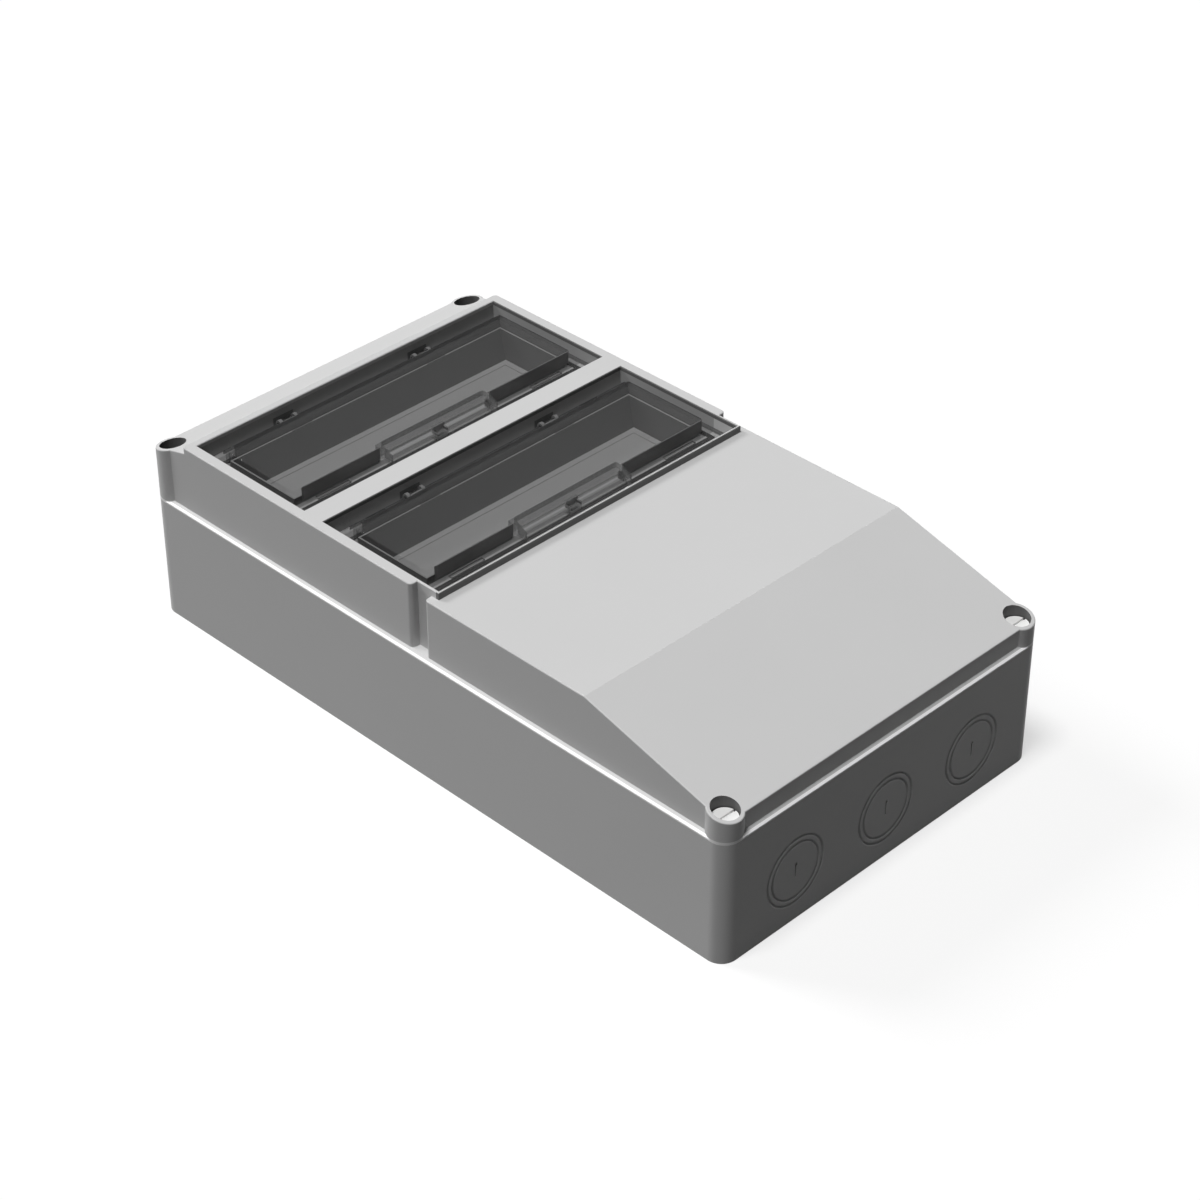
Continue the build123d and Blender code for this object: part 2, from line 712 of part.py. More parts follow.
# Window flap: a clear dome on a flange, with its grip, snap tongues and hinge knuckles
def window_flap(row_y):
    flange_near_y = row_y - window_width / 2 + flap_gap
    hinge_y = row_y + window_width / 2 - flange_back_gap
    dome_near_y = row_y - dome_near_offset
    dome_far_y = row_y + dome_far_offset
    dome_mid_y = (dome_near_y + dome_far_y) / 2
    grip_near_y = dome_near_y - grip_lower_reach
    grip_step_y = dome_near_y - grip_upper_reach
    scoop_far_y = dome_near_y + grip_scoop_depth
    grip_upper_z = dome_top_z - grip_upper_drop
    grip_lower_z = dome_top_z - grip_lower_drop
    with BuildPart() as flap:
        with BuildSketch(Plane.XY.offset(flange_bottom_z)):
            with Locations((0, (flange_near_y + hinge_y) / 2)):
                Rectangle(window_length - 2 * flap_gap, hinge_y - flange_near_y)
        extrude(amount=flange_thickness)
        with BuildSketch(Plane.XY.offset(flange_bottom_z)):
            with Locations((0, dome_mid_y)):
                RectangleRounded(2 * dome_half_length, dome_far_y - dome_near_y, flap_corner_radius)
        extrude(amount=dome_top_z - flange_bottom_z)
        fillet(flap.faces().sort_by(Axis.Z)[-1].edges(), radius=dome_edge_radius)
        with BuildSketch(Plane.XY.offset(flange_bottom_z)):
            with Locations((0, dome_mid_y)):
                Rectangle(2 * (dome_half_length - flap_wall), dome_far_y - dome_near_y - 2 * flap_wall)
        extrude(amount=dome_top_z - flap_wall - flange_bottom_z, mode=Mode.SUBTRACT)

        # Finger cut-out in the flange, then the stepped grip and its scoop in the dome's front
        with BuildSketch(Plane.XY.offset(flange_bottom_z)):
            with Locations((0, (flange_near_y + grip_near_y) / 2)):
                Rectangle(2 * grip_scoop_half_length, grip_near_y - flange_near_y)
        extrude(amount=flange_thickness, mode=Mode.SUBTRACT)
        with BuildSketch(Plane.XY.offset(flange_bottom_z)):
            with Locations((0, (dome_near_y + scoop_far_y + flap_wall) / 2)):
                Rectangle(2 * (grip_scoop_half_length + flap_wall), scoop_far_y + flap_wall - dome_near_y)
        extrude(amount=dome_top_z - dome_edge_radius - flange_bottom_z)
        with BuildSketch(Plane.XY.offset(grip_upper_z)):
            with Locations((0, (scoop_far_y + grip_near_y) / 2)):
                RectangleRounded(2 * grip_scoop_half_length, scoop_far_y - grip_near_y, grip_end_radius)
        extrude(amount=grip_upper_drop, mode=Mode.SUBTRACT)
        with BuildSketch(Plane.XY.offset(flange_bottom_z)):
            with Locations((0, (dome_near_y + grip_near_y) / 2)):
                Rectangle(2 * grip_half_length, dome_near_y - grip_near_y)
        extrude(amount=grip_lower_z - flange_bottom_z)
        with BuildSketch(Plane.XY.offset(grip_lower_z)):
            with Locations((0, (dome_near_y + grip_step_y) / 2)):
                Rectangle(2 * grip_half_length, dome_near_y - grip_step_y)
        extrude(amount=grip_upper_z - grip_lower_z)
        for cheek_x in [sx * (grip_scoop_half_length + cheek_thickness / 2) for sx in (-1, 1)]:
            with BuildSketch(Plane.YZ.offset(cheek_x)):
                with BuildLine():
                    Polyline(
                        (dome_near_y, flange_bottom_z),
                        (dome_near_y, dome_top_z - dome_edge_radius),
                        (dome_near_y - cheek_reach, dome_top_z - cheek_drop),
                        (dome_near_y - cheek_reach, flange_bottom_z),
                        close=True,
                    )
                make_face()
            extrude(amount=cheek_thickness / 2, both=True)
        with BuildSketch(Plane.XZ.offset(-grip_near_y)):
            with Locations((0, (grip_lower_z + flange_top_z) / 2)):
                SlotOverall(seal_slot_length, seal_slot_height)
        extrude(amount=-seal_slot_depth, mode=Mode.SUBTRACT)

        # Snap tongues under the flange and ribs on top of it
        with BuildSketch(Plane.XY.offset(flange_bottom_z)):
            with Locations(*[(sx * tongue_x, row_y - tongue_offset) for sx in (-1, 1)]):
                Rectangle(snap_tongue_length, snap_tongue_thickness)
        extrude(amount=-snap_tongue_depth)
        with BuildSketch(Plane.XY.offset(flange_top_z)):
            with Locations(*[(sx * tongue_x, dome_near_y - grip_lower_reach) for sx in (-1, 1)]):
                Rectangle(flange_rib_front_length, flange_rib_width)
            with Locations(*[(sx * tongue_x, hinge_y - flange_rib_width) for sx in (-1, 1)]):
                Rectangle(flange_rib_back_length, flange_rib_width)
        extrude(amount=flange_rib_height)

        # Hinge knuckles, with the flange cut back beside them for the ears
        ear_span = knuckle_length + 2 * (knuckle_side_gap + ear_thickness + ear_notch_gap)
        notch_reach = knuckle_radius + ear_notch_gap
        with BuildSketch(Plane.XY.offset(flange_bottom_z)):
            with Locations(*[(sx * hinge_x, hinge_y - notch_reach / 2) for sx in (-1, 1)]):
                Rectangle(ear_span, notch_reach)
                Rectangle(knuckle_length, notch_reach, mode=Mode.SUBTRACT)
        extrude(amount=flange_thickness, mode=Mode.SUBTRACT)
        for knuckle_x in (-hinge_x, hinge_x):
            with BuildSketch(Plane.YZ.offset(knuckle_x)):
                with Locations((hinge_y, hinge_z)):
                    Circle(knuckle_radius)
            extrude(amount=knuckle_length / 2, both=True)
            with BuildSketch(Plane.YZ.offset(knuckle_x)):
                with Locations((hinge_y, hinge_z)):
                    Circle(pin_radius + pin_running_clearance)
            extrude(amount=knuckle_length / 2, both=True, mode=Mode.SUBTRACT)
    return flap.part


def hinge_pins(row_y):
    hinge_y = row_y + window_width / 2 - flange_back_gap
    half_pin = knuckle_length / 2 + knuckle_side_gap + ear_thickness + pin_overhang
    with BuildPart() as pins:
        for pin_x in (-hinge_x, hinge_x):
            with BuildSketch(Plane.YZ.offset(pin_x)):
                with Locations((hinge_y, hinge_z)):
                    Circle(pin_radius)
            extrude(amount=half_pin, both=True)
    return pins.part


# Seal on the well's ledge, under the flap's flange
def flap_seal(row_y):
    near_y = row_y - dome_near_offset - flap_seal_near - flap_seal_width
    far_y = row_y + dome_far_offset + flap_seal_far
    length = 2 * (dome_half_length + flap_seal_side + flap_seal_width)
    width = far_y - near_y
    with BuildPart() as seal:
        with BuildSketch(Plane.XY.offset(ledge_z)):
            with Locations((0, (near_y + far_y) / 2)):
                Rectangle(length, width)
                Rectangle(length - 2 * flap_seal_width, width - 2 * flap_seal_width, mode=Mode.SUBTRACT)
        extrude(amount=flange_lift - flap_seal_clearance)
    return seal.part


# Blanking strip that fills the device aperture and hooks under the tray floor
def blanking_strip(row_y):
    under_z = tray_floor_z - tray_floor_thickness
    with BuildPart() as strip:
        with BuildSketch(Plane.XY.offset(under_z)):
            with Locations((0, row_y)):
                Rectangle(aperture_length - 2 * strip_clearance, aperture_width - 2 * strip_clearance)
        extrude(amount=tray_floor_thickness - strip_recess)
        with BuildSketch(Plane.XY.offset(under_z)):
            with Locations((0, row_y)):
                Rectangle(aperture_length + 2 * strip_lip, aperture_width + 2 * strip_lip)
        extrude(amount=-strip_lip_thickness)
        with BuildSketch(Plane.XY.offset(under_z - strip_lip_thickness)):
            with GridLocations(module_pitch, 1, module_count - 1, 1):
                with Locations((0, row_y)):
                    Rectangle(strip_rib_width, aperture_width)
        extrude(amount=-strip_rib_height)
    return strip.part


# Top hat rail with slots along its base
def device_rail(row_y):
    slot_count = int(rail_length // rail_slot_pitch)
    with BuildPart() as rail:
        with BuildSketch(Plane.YZ):
            with BuildLine():
                Polyline(
                    (row_y - rail_width / 2, rail_top_z),
                    (row_y - rail_width / 2, rail_top_z - rail_gauge),
                    (row_y - rail_base_width / 2, rail_top_z - rail_gauge),
                    (row_y - rail_base_width / 2, rail_bottom_z),
                    (row_y + rail_base_width / 2, rail_bottom_z),
                    (row_y + rail_base_width / 2, rail_top_z - rail_gauge),
                    (row_y + rail_width / 2, rail_top_z - rail_gauge),
                    (row_y + rail_width / 2, rail_top_z),
                    (row_y + rail_base_width / 2 - rail_gauge, rail_top_z),
                    (row_y + rail_base_width / 2 - rail_gauge, rail_bottom_z + rail_gauge),
                    (row_y - rail_base_width / 2 + rail_gauge, rail_bottom_z + rail_gauge),
                    (row_y - rail_base_width / 2 + rail_gauge, rail_top_z),
                    close=True,
                )
            make_face()
        extrude(amount=rail_length / 2, both=True)
        with BuildSketch(Plane.XY.offset(rail_bottom_z)):
            with GridLocations(rail_slot_pitch, 1, slot_count, 1):
                with Locations((0, row_y)):
                    SlotOverall(rail_slot_length, rail_slot_width)
        extrude(amount=rail_gauge, mode=Mode.SUBTRACT)
        with BuildSketch(Plane.XY.offset(rail_bottom_z)):
            with Locations((-support_x, row_y), (support_x, row_y)):
                Circle(rail_screw_radius + pilot_clearance)
        extrude(amount=rail_gauge, mode=Mode.SUBTRACT)
    return rail.part


# Hollow moulded pillar that carries one end of a rail
def rail_support(centre_x, row_y):
    support_height = rail_bottom_z - boss_top_z
    foot_width = support_width_y + 2 * support_foot_reach
    with BuildPart() as support:
        with BuildSketch(Plane.XY.offset(boss_top_z)):
            with Locations((centre_x, row_y)):
                Rectangle(support_length_x, foot_width)
        extrude(amount=support_foot_thickness)
        with BuildSketch(Plane.XY.offset(boss_top_z)):
            with Locations((centre_x, row_y)):
                Rectangle(support_length_x, support_width_y)
        extrude(amount=support_height)
        with BuildSketch(Plane.XY.offset(boss_top_z)):
            with Locations((centre_x, row_y)):
                Rectangle(support_length_x - 2 * support_wall, support_width_y - 2 * support_wall)
        extrude(amount=support_height - support_top_thickness, mode=Mode.SUBTRACT)
        with BuildSketch(Plane.XY.offset(rail_bottom_z)):
            with Locations((centre_x, row_y)):
                Circle(rail_screw_radius + pilot_clearance)
        extrude(amount=-support_top_thickness, mode=Mode.SUBTRACT)
        with BuildSketch(Plane.XY.offset(boss_top_z)):
            with Locations(*[(centre_x, row_y + sy * support_screw_y) for sy in (-1, 1)]):
                Circle(small_screw_radius + pilot_clearance)
        extrude(amount=support_foot_thickness, mode=Mode.SUBTRACT)
    return support.part


# Pan head screws standing on a seat, slotted across the top
def screw_group(places, seat_z, head_radius, head_height, shank_radius, shank_length, slot_width):
    with BuildPart() as screws:
        with BuildSketch(Plane.XY.offset(seat_z)):
            with Locations(*places):
                Circle(head_radius)
        extrude(amount=head_height)
        with BuildSketch(Plane.XY.offset(seat_z)):
            with Locations(*places):
                Circle(shank_radius)
        extrude(amount=-shank_length)
        with BuildSketch(Plane.XY.offset(seat_z + head_height)):
            with Locations(*places):
                Rectangle(2 * head_radius, slot_width)
        extrude(amount=-head_height * slot_depth_share, mode=Mode.SUBTRACT)
    return screws.part


for row_name, row_y in rows.items():
    save(window_well(row_y), f"window_well_{row_name}")
    save(window_flap(row_y), f"window_flap_{row_name}")
    save(hinge_pins(row_y), f"hinge_pins_{row_name}")
    save(flap_seal(row_y), f"flap_seal_{row_name}")
    save(blanking_strip(row_y), f"blanking_strip_{row_name}")
    save(device_rail(row_y), f"device_rail_{row_name}")
    for side_name, side in {"left": -1, "right": 1}.items():
        save(rail_support(side * support_x, row_y), f"rail_support_{row_name}_{side_name}")

support_screws = screw_group(
    [(sx * support_x, row_y + sy * support_screw_y)
     for row_y in rows.values() for sx in (-1, 1) for sy in (-1, 1)],
    boss_top_z + support_foot_thickness, small_screw_head_radius, small_screw_head_height,
    small_screw_radius, support_foot_thickness + boss_height, small_screw_slot,
)
save(support_screws, "support_screws")

rail_screws = screw_group(
    [(sx * support_x, row_y) for row_y in rows.values() for sx in (-1, 1)],
    rail_bottom_z + rail_gauge, rail_screw_head_radius, rail_screw_head_height,
    rail_screw_radius, rail_screw_length, small_screw_slot,
)
save(rail_screws, "rail_screws")


# Bracket that carries an end of both terminal bars, the neutral one higher than the earth one
def terminal_bracket(centre_x):
    near_y = bracket_y - bracket_length / 2
    far_y = bracket_y + bracket_length / 2
    step_y = (bar_ys["neutral"] + bar_ys["earth"]) / 2
    body_near_y = bar_ys["earth"] - bar_width
    body_far_y = bar_ys["neutral"] + bar_width
    with BuildPart() as bracket:
        with BuildSketch(Plane.YZ.offset(centre_x)):
            with BuildLine():
                Polyline(
                    (near_y, boss_top_z),
                    (near_y, boss_top_z + bracket_foot_thickness),
                    (body_near_y, boss_top_z + bracket_foot_thickness),
                    (body_near_y, bar_zs["earth"] + bar_seat_depth),
                    (step_y, bar_zs["earth"] + bar_seat_depth),
                    (step_y, bar_zs["neutral"] + bar_seat_depth),
                    (body_far_y, bar_zs["neutral"] + bar_seat_depth),
                    (body_far_y, boss_top_z + bracket_foot_thickness),
                    (far_y, boss_top_z + bracket_foot_thickness),
                    (far_y, boss_top_z),
                    close=True,
                )
            make_face()
            for bar_name in bar_ys:
                with Locations((bar_ys[bar_name], bar_zs[bar_name] + bar_seat_depth / 2)):
                    Rectangle(bar_width + 2 * bar_seat_clearance, bar_seat_depth, mode=Mode.SUBTRACT)
        extrude(amount=bracket_thickness / 2, both=True)
        for bar_name in bar_ys:
            with BuildSketch(Plane.XY.offset(bar_zs[bar_name])):
                with Locations((centre_x, bar_ys[bar_name])):
                    Circle(bar_screw_radius + pilot_clearance)
            extrude(amount=bar_height - bar_screw_length, mode=Mode.SUBTRACT)
        with BuildSketch(Plane.XY.offset(boss_top_z)):
            with Locations(*[(centre_x, y) for y in bracket_screw_ys]):
                Circle(small_screw_radius + pilot_clearance)
        extrude(amount=bracket_foot_thickness, mode=Mode.SUBTRACT)
    return bracket.part


# Brass bar with a row of cross holes for wires, a clamp screw hole over each, and end holes
def terminal_bar(bar_y, bar_z):
    with BuildPart() as bar:
        with BuildSketch(Plane.XY.offset(bar_z)):
            with Locations((0, bar_y)):
                Rectangle(bar_length, bar_width)
        extrude(amount=bar_height)
        with BuildSketch(Plane.XZ.offset(-bar_y)):
            with Locations(*[(x, bar_z + bar_hole_height) for x in bar_hole_xs]):
                Circle(bar_hole_radius)
        extrude(amount=bar_width / 2, both=True, mode=Mode.SUBTRACT)
        with BuildSketch(Plane.XY.offset(bar_z + bar_height)):
            with Locations(*[(x, bar_y) for x in bar_hole_xs]):
                Circle(clamp_screw_radius + clamp_screw_clearance)
        extrude(amount=bar_hole_height - bar_height, mode=Mode.SUBTRACT)
        with BuildSketch(Plane.XY.offset(bar_z)):
            with Locations((-bracket_x, bar_y), (bracket_x, bar_y)):
                Circle(bar_screw_radius + pilot_clearance)
        extrude(amount=bar_height, mode=Mode.SUBTRACT)
    return bar.part


for side_name, side in {"left": -1, "right": 1}.items():
    save(terminal_bracket(side * bracket_x), f"terminal_bracket_{side_name}")
for bar_name in bar_ys:
    save(terminal_bar(bar_ys[bar_name], bar_zs[bar_name]), f"{bar_name}_bar")
    clamp_screws = screw_group(
        [(x, bar_ys[bar_name]) for x in bar_hole_xs],
        bar_zs[bar_name] + bar_height + clamp_head_lift, clamp_head_radius, clamp_head_height,
        clamp_screw_radius, bar_height + clamp_head_lift - bar_hole_height, clamp_slot,
    )
    save(clamp_screws, f"{bar_name}_clamp_screws")

bracket_screws = screw_group(
    [(sx * bracket_x, y) for sx in (-1, 1) for y in bracket_screw_ys],
    boss_top_z + bracket_foot_thickness, small_screw_head_radius, small_screw_head_height,
    small_screw_radius, bracket_foot_thickness + boss_height, small_screw_slot,
)
save(bracket_screws, "bracket_screws")

with BuildPart() as bar_screws:
    for bar_name in bar_ys:
        add(screw_group(
            [(-bracket_x, bar_ys[bar_name]), (bracket_x, bar_ys[bar_name])],
            bar_zs[bar_name] + bar_height, clamp_head_radius, clamp_head_height,
            bar_screw_radius, bar_screw_length, clamp_slot,
        ))
save(bar_screws.part, "bar_screws")
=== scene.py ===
import json
import math

import bmesh
import bpy
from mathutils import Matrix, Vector


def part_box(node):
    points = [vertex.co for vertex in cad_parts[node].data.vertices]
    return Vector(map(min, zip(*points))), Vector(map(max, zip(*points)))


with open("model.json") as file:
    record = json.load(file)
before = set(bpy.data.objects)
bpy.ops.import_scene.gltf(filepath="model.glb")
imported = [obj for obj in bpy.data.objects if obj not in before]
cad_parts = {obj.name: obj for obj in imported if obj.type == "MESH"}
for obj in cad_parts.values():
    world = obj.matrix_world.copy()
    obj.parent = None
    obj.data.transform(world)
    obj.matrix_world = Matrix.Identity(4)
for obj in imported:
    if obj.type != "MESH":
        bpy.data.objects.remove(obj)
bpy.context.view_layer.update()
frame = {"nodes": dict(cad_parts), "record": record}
nodes = frame["nodes"]
print("frame loaded:", len(nodes), "nodes")


# A socket that can be used in sums, so that shader maths reads as plain Python
class Value:
    def __init__(self, shader, socket):
        self.shader = shader
        self.socket = socket

    def maths(self, operation, first, second=0.0):
        return self.shader.node("ShaderNodeMath", {"operation": operation}, {0: first, 1: second})

    def __add__(self, other):
        return self.maths("ADD", self, other)

    def __radd__(self, other):
        return self.maths("ADD", other, self)

    def __sub__(self, other):
        return self.maths("SUBTRACT", self, other)

    def __rsub__(self, other):
        return self.maths("SUBTRACT", other, self)

    def __mul__(self, other):
        return self.maths("MULTIPLY", self, other)

    def __rmul__(self, other):
        return self.maths("MULTIPLY", other, self)

    def __gt__(self, other):
        return self.maths("GREATER_THAN", self, other)

    def __lt__(self, other):
        return self.maths("LESS_THAN", self, other)

    def __mod__(self, other):
        return self.maths("MODULO", self, other)

    def __abs__(self):
        return self.maths("ABSOLUTE", self)

    def __or__(self, other):
        return self.maths("MAXIMUM", self, other)


flatFaces = (0.5, 0.7)  # the squared upward part of a normal where a face starts to be flat, and is
edgeSlack = 0.0005  # room beside the height of a flat face, in metres
patchDetail = 3.0


# A node tree of a material or of the world, with one method that adds any node
class Shader:
    def __init__(self, owner):
        owner.use_nodes = True
        self.tree = owner.node_tree
        self.tree.nodes.clear()

    def node(self, kind, settings=None, sockets=None, output=0):
        made = self.tree.nodes.new(kind)
        for name, setting in (settings or {}).items():
            setattr(made, name, setting)
        for name, value in (sockets or {}).items():
            if isinstance(value, Value):
                self.tree.links.new(value.socket, made.inputs[name])
            else:
                made.inputs[name].default_value = value
        return Value(self, made.outputs[output]) if made.outputs else None

    # The place on the piece along one axis, in metres
    def place(self, axis):
        coords = self.node("ShaderNodeTexCoord", output="Object")
        return self.node("ShaderNodeSeparateXYZ", {}, {0: coords}, output=axis)

    # Noise with grains of one size, in metres, around 0.5
    def noise(self, grain, detail=2.0):
        coords = self.node("ShaderNodeTexCoord", output="Object")
        sockets = {"Vector": coords, "Scale": 1 / grain, "Detail": detail, "Roughness": 0.55}
        return self.node("ShaderNodeTexNoise", {}, sockets)

    # 0 on upright faces, 1 on flat ones, as they lie with everything closed
    def flatness(self):
        facing = self.node("ShaderNodeTexCoord", output="Normal")
        upright = self.node("ShaderNodeSeparateXYZ", {}, {0: facing}, output="Z")
        return self.ramp(upright * upright, *flatFaces)

    # The distance from the near edge of either window flap, in metres, the same on both rows
    def fromNearEdge(self):
        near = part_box("window_flap_lower")[0].y
        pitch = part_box("window_flap_upper")[0].y - near
        return (self.place("Y") - near) % pitch

    # 1 where a value lies between two bounds
    def between(self, value, low, high):
        return (value > low) * (value < high)

    # The distance from one place along an axis, in metres
    def distance(self, axis, centre=0.0):
        return abs(self.place(axis) - centre)

    # 0 below low, 1 above high, smooth in between
    def ramp(self, value, low, high):
        settings = {"interpolation_type": "SMOOTHSTEP"}
        return self.node("ShaderNodeMapRange", settings, {"Value": value, "From Min": low, "From Max": high})

    # The colour sockets of a Mix node have the same names as its others, so they go by number
    def mixColour(self, factor, first, second):
        sockets = {0: factor, 6: first, 7: second}
        return self.node("ShaderNodeMix", {"data_type": "RGBA"}, sockets, output=2)

    def bump(self, height, strength, distance):
        return self.node("ShaderNodeBump", {}, {"Height": height, "Strength": strength, "Distance": distance})

    def surface(self, sockets):
        shader = self.node("ShaderNodeBsdfPrincipled", {}, sockets)
        self.node("ShaderNodeOutputMaterial", {}, {"Surface": shader})


# 1 on average, more or less with the noise
def around(noise, spread):
    return 1 - spread / 2 + spread * noise


def grey(tone, tint=(1, 1, 1)):
    return (tone * tint[0], tone * tint[1], tone * tint[2], 1)


def newShader(name):
    material = bpy.data.materials.new(name)
    return material, Shader(material)


# Light grey moulded plastic of the tub and the cover, with a painted highlight on the tub's rim bevel and
# painted shade in the cover's window mouths, step and post counterbores
housing = {
    "tone": 0.60,
    "toneSpread": 0.012,
    "rimHighlightTone": 0.98,
    "rimBevel": 0.0021,
    "roughness": 0.42,
    "roughnessSpread": 0.10,
    "specular": 0.16,
    "grain": 0.0007,
    "grainBump": 0.4,
    "grainDepth": 0.00002,
    "flowGrain": 0.09,
    "seamSlack": 0.00005,
    "mouthShadeTone": 0.16,
    "mouthDepth": 0.0031,
    "mouthMargin": 0.0015,
    "stepHeight": 0.0049,
    "boreRadius": 0.0096,
    "postInset": 0.0115,
}


# 1 on the upright walls of the window mouths, of the step before them and of the post counterbores, which get
# painted shade
def shadedWalls(shader):
    low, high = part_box("window_flap_lower")[0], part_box("window_flap_upper")[1]
    middle = (low.y + high.y) / 2
    across = shader.distance("X") < high.x + housing["mouthMargin"]
    along = shader.distance("Y", middle) < high.y - middle + housing["mouthMargin"]
    top = shader.place("Z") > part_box("cover")[1].z - housing["mouthDepth"]
    nearDeck = shader.place("Z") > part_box("cover")[1].z - housing["stepHeight"]
    step = nearDeck * (shader.place("Y") < low.y)
    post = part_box("base_tub")[1]
    fromPostX = shader.distance("X") - (post.x - housing["postInset"])
    fromPostY = shader.distance("Y") - (post.y - housing["postInset"])
    bore = fromPostX * fromPostX + fromPostY * fromPostY < housing["boreRadius"] * housing["boreRadius"]
    return (1 - shader.flatness()) * (across * along * top | bore | step)


def housingMaterial(name, paintedRimHighlight):
    material, shader = newShader(name)
    flow = shader.noise(housing["flowGrain"], patchDetail)
    grain = shader.noise(housing["grain"])
    low = grey(housing["tone"] - housing["toneSpread"])
    high = grey(housing["tone"] + housing["toneSpread"])
    colour = shader.mixColour(flow, low, high)
    if paintedRimHighlight:
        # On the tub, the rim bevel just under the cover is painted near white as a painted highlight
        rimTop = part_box("cover")[0].z
        height = shader.place("Z")
        rimHighlight = shader.between(height, rimTop - housing["rimBevel"], rimTop - housing["seamSlack"])
        colour = shader.mixColour(rimHighlight, colour, grey(housing["rimHighlightTone"]))
    # On the cover, painted shade darkens the mouth walls, the step and the counterbores
    else:
        colour = shader.mixColour(shadedWalls(shader), colour, grey(housing["mouthShadeTone"]))
    shader.surface({
        "Base Color": colour,
        "Roughness": housing["roughness"] + (grain - 0.5) * housing["roughnessSpread"],
        "Specular IOR Level": housing["specular"],
        "Normal": shader.bump(grain, housing["grainBump"], housing["grainDepth"]),
    })
    return material


# Plastic of the window wells, painted with light and shade: the ledge in front lighter as painted light, the
# tray floors light, the rest of the recess darker as painted shade, and the tray walls and the spots behind
# the hinge ears darkest as painted shade
well = {
    "floorTone": 0.52,
    "trayWallShadeTone": 0.17,
    "trayHalfLength": 0.1225,
    "trayReach": (0.0200, 0.0885),
    "collarHeight": 0.0055,
    "recessShadeTone": 0.38,
    "frontLitTone": 0.72,
    "hingePlace": 0.0600,
    "hingeHalfLength": 0.0086,
    "hingeHeight": 0.0062,
    "roughness": 0.45,
    "roughnessSpread": 0.2,
    "specular": 0.16,
    "grain": 0.0007,
    "grainBump": 0.4,
    "grainDepth": 0.00002,
    "patch": 0.05,
    "patchSpread": 0.03,
}


def wellMaterial():
    material, shader = newShader("wellPlastic")
    grain = shader.noise(well["grain"])
    patches = shader.noise(well["patch"], patchDetail)
    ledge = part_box("flap_seal_upper")[0].z
    height = shader.place("Z")
    flat = shader.flatness()
    across = shader.distance("X")
    fromNear = shader.fromNearEdge()
    trayFloor = (height < ledge - edgeSlack) * flat
    # Painted shade: everything but the tray floors gets the darker recess tone
    colour = shader.mixColour(trayFloor, grey(well["recessShadeTone"]), grey(well["floorTone"]))
    # Painted light: the flats in front of the trays are lighter
    litFront = (fromNear < well["trayReach"][0]) * flat
    colour = shader.mixColour(litFront, colour, grey(well["frontLitTone"]))
    # Painted shade: the tray walls and the spots behind the hinge ears are darkest
    region = (across < well["trayHalfLength"]) * shader.between(fromNear, *well["trayReach"])
    shadedTrayWalls = (height < ledge + well["collarHeight"]) * region * (1 - flat)
    atHinge = abs(across - well["hingePlace"]) < well["hingeHalfLength"]
    hingeShadow = atHinge * shader.between(height, ledge + edgeSlack, ledge + well["hingeHeight"])
    colour = shader.mixColour(shadedTrayWalls | hingeShadow, colour, grey(well["trayWallShadeTone"]))
    shader.surface({
        "Base Color": shader.mixColour(patches * well["patchSpread"], colour, grey(1.0)),
        "Roughness": well["roughness"] * around(grain, well["roughnessSpread"]),
        "Specular IOR Level": well["specular"],
        "Normal": shader.bump(grain, well["grainBump"], well["grainDepth"]),
    })
    return material


# Smoky clear plastic of the window flaps, its walls except the left one near opaque as painted shade, and
# with painted shade over the seal slot
smoke = {
    "tone": 0.06,
    "clearness": 0.78,
    "wallShadeTone": 0.24,
    "wallShadeClearness": 0.12,
    "clearSide": -0.115,
    "gripClearness": 0.5,
    "gripHalfLength": 0.0497,
    "gripReach": 0.0285,
    "lockHalfLength": 0.0052,
    "lockReach": (0.0148, 0.0210),
    "lockShade": 0.35,
    "specular": 0.22,
    "refraction": 1.49,
    "roughness": 0.06,
    "roughnessSpread": 0.03,
    "haze": 0.004,
    "hazeSpread": 0.2,
    "waviness": 0.03,
    "waveBump": 0.3,
    "waveDepth": 0.00002,
}


def smokeMaterial():
    material, shader = newShader("smokyWindow")
    wave = shader.noise(smoke["waviness"], 1.0)
    haze = shader.noise(smoke["haze"], patchDetail)
    fromNear = shader.fromNearEdge()
    grip = (shader.distance("X") < smoke["gripHalfLength"]) * (fromNear < smoke["gripReach"])
    # Painted shade: the seal slot is made less clear
    lock = (shader.distance("X") < smoke["lockHalfLength"]) * shader.between(fromNear, *smoke["lockReach"])
    # Painted shade: the flap walls except the left one are made grey and near opaque; the longer path through
    # a wall accounts for only part of it, and the grip keeps half of it
    shadedWall = (1 - shader.flatness()) * (shader.place("X") > smoke["clearSide"])
    depth = shadedWall * (1 - grip * smoke["gripClearness"])
    tone = smoke["tone"] * around(haze, smoke["hazeSpread"]) + shadedWall * (smoke["wallShadeTone"] - smoke["tone"])
    filled = 1 - smoke["clearness"] + depth * (smoke["clearness"] - smoke["wallShadeClearness"])
    shader.surface({
        "Base Color": shader.node("ShaderNodeCombineColor", {}, {0: tone, 1: tone, 2: tone}),
        "Roughness": smoke["roughness"] + haze * smoke["roughnessSpread"],
        "IOR": smoke["refraction"],
        "Specular IOR Level": smoke["specular"],
        "Alpha": filled + lock * smoke["lockShade"],
        "Normal": shader.bump(wave, smoke["waveBump"], smoke["waveDepth"]),
    })
    return material


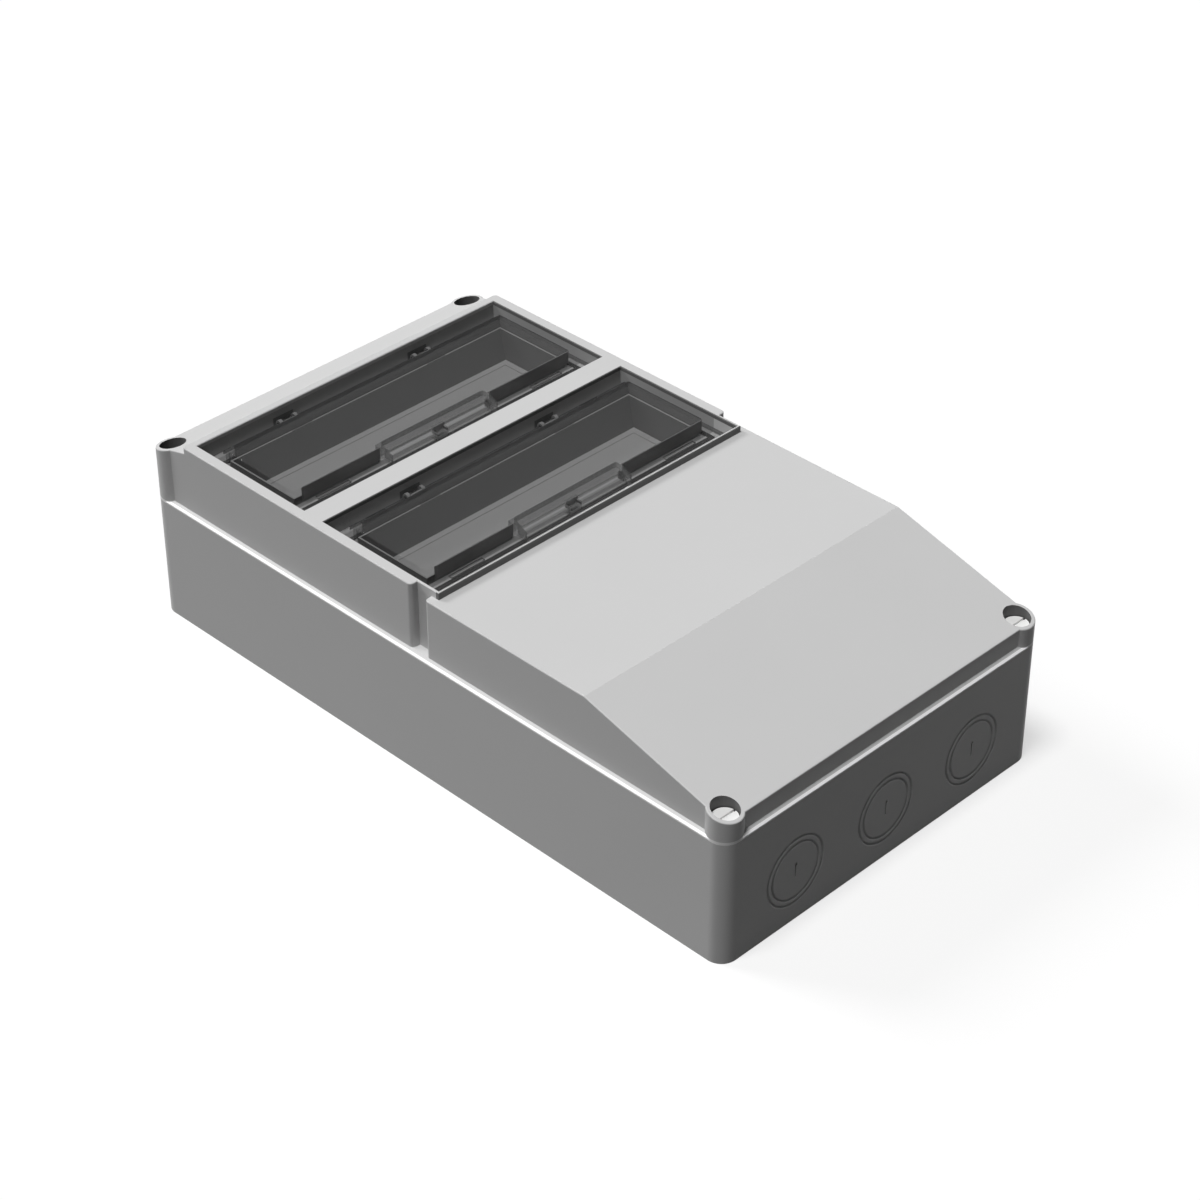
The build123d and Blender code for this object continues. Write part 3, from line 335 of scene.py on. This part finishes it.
# Plastics, rubber and metals inside, and the white cover screws
finishes = {
    "whiteScrew": {"tone": 0.88, "roughness": 0.38, "grain": 0.0006, "tint": (1, 1, 0.99)},
    "innerPlastic": {"tone": 0.30, "roughness": 0.5, "grain": 0.0008, "tint": (1, 1.01, 1.03)},
    "foamSeal": {"tone": 0.05, "roughness": 0.85, "grain": 0.0004, "tint": (1, 1, 1)},
    "zincSteel": {"tone": 0.62, "roughness": 0.33, "grain": 0.0012, "metallic": 1.0, "tint": (1, 1, 0.97)},
    "blackSteel": {"tone": 0.10, "roughness": 0.4, "grain": 0.0010, "metallic": 1.0, "tint": (1, 1, 1)},
    "drawnBrass": {"tone": 0.72, "roughness": 0.3, "grain": 0.0010, "metallic": 1.0, "tint": (1, 0.76, 0.36)},
}
wear = {"patch": 0.02, "darker": 0.94, "lighter": 1.05, "roughnessSpread": 0.3, "bump": 0.3, "depth": 0.00002}


def finishMaterial(name):
    finish = finishes[name]
    material, shader = newShader(name)
    grain = shader.noise(finish["grain"])
    patches = shader.noise(wear["patch"], patchDetail)
    low = grey(finish["tone"] * wear["darker"], finish["tint"])
    high = grey(finish["tone"] * wear["lighter"], finish["tint"])
    shader.surface({
        "Base Color": shader.mixColour(patches, low, high),
        "Roughness": finish["roughness"] * around(grain, wear["roughnessSpread"]),
        "Metallic": finish.get("metallic", 0.0),
        "Normal": shader.bump(grain, wear["bump"], wear["depth"]),
    })
    return material


made = {name: finishMaterial(name) for name in finishes}
materialOfSlot = {
    "housing": housingMaterial("coverPlastic", False),
    "well_plastic": wellMaterial(),
    "window": smokeMaterial(),
    "screw_plastic": made["whiteScrew"],
    "inner_plastic": made["innerPlastic"],
    "seal": made["foamSeal"],
    "steel": made["zincSteel"],
    "dark_steel": made["blackSteel"],
    "brass": made["drawnBrass"],
}
for subpart in frame["record"]["subparts"]:
    nodes[subpart["node"]].material_slots[0].material = materialOfSlot[subpart["material_slot"]]
nodes["base_tub"].material_slots[0].material = housingMaterial("tubPlastic", True)
print("materials made")

# Floor: white to the eye with a soft shadow, dark to the light it would throw back
floor = {"size": 30.0, "bounce": 0.05, "shadowShare": 0.35}


def addFloor():
    mesh = bmesh.new()
    bmesh.ops.create_grid(mesh, x_segments=1, y_segments=1, size=floor["size"] / 2)
    data = bpy.data.meshes.new("floor")
    mesh.to_mesh(data)
    mesh.free()
    made = bpy.data.objects.new("floor", data)
    bpy.context.scene.collection.objects.link(made)
    material, shader = newShader("floorWhite")
    seen = seenRays(shader)
    lit = shader.node("ShaderNodeBsdfDiffuse", {}, {"Color": grey(1.0)})
    glow = shader.node("ShaderNodeEmission", {}, {"Color": grey(1.0), "Strength": 1.0})
    dark = shader.node("ShaderNodeBsdfDiffuse", {}, {"Color": grey(floor["bounce"])})
    white = shader.node("ShaderNodeMixShader", {}, {0: floor["shadowShare"], 1: glow, 2: lit})
    both = shader.node("ShaderNodeMixShader", {}, {0: seen, 1: dark, 2: white})
    shader.node("ShaderNodeOutputMaterial", {}, {"Surface": both})
    data.materials.append(material)


# 1 for the rays that show the background, 0 for those that light the object
def seenRays(shader):
    camera = shader.node("ShaderNodeLightPath", output="Is Camera Ray")
    glossy = shader.node("ShaderNodeLightPath", output="Is Glossy Ray")
    clear = shader.node("ShaderNodeLightPath", output="Is Transmission Ray")
    scattered = shader.node("ShaderNodeLightPath", output="Diffuse Depth")
    return (camera | glossy | clear) * (scattered < 0.5)


# Two soft lights from above on the left, one of them from behind, in a dim room
lights = {
    "keyLight": {"from": (-0.274, 0.0, 0.962), "strength": 2.5, "softness": 16.0},
    "backLight": {"from": (-0.27, 0.74, 0.62), "strength": 1.27, "softness": 20.0},
}
room = {"strength": 0.018}


def addLights():
    for name, light in lights.items():
        data = bpy.data.lights.new(name, "SUN")
        data.energy = light["strength"]
        data.angle = math.radians(light["softness"])
        made = bpy.data.objects.new(name, data)
        made.rotation_mode = "QUATERNION"
        made.rotation_quaternion = Vector(light["from"]).to_track_quat("Z", "Y")
        bpy.context.scene.collection.objects.link(made)
    world = bpy.data.worlds.new("room")
    bpy.context.scene.world = world
    shader = Shader(world)
    strength = room["strength"] + (1 - room["strength"]) * seenRays(shader)
    lit = shader.node("ShaderNodeBackground", {}, {"Color": grey(1.0), "Strength": strength})
    shader.node("ShaderNodeOutputWorld", {}, {"Surface": lit})


# The photograph's view
view = {
    "azimuth": -45.12,
    "elevation": 35.4,
    "lens": 92.22,
    "sensor": 36,
    "place": (-1.1416, -1.1530, 1.2154),
}


def addCamera():
    data = bpy.data.cameras.new("camera")
    data.sensor_width = view["sensor"]
    data.lens = view["lens"]
    camera = bpy.data.objects.new("camera", data)
    around, above = math.radians(view["azimuth"]), math.radians(view["elevation"])
    back = Vector((math.sin(around) * math.cos(above), -math.cos(around) * math.cos(above), math.sin(above)))
    camera.rotation_mode = "QUATERNION"
    camera.rotation_quaternion = (-back).to_track_quat("-Z", "Y")
    camera.location = view["place"]
    bpy.context.scene.collection.objects.link(camera)
    bpy.context.scene.camera = camera


addFloor()
addLights()
addCamera()
bpy.context.scene.view_settings.view_transform = "Standard"
print("floor, lights and camera in place")
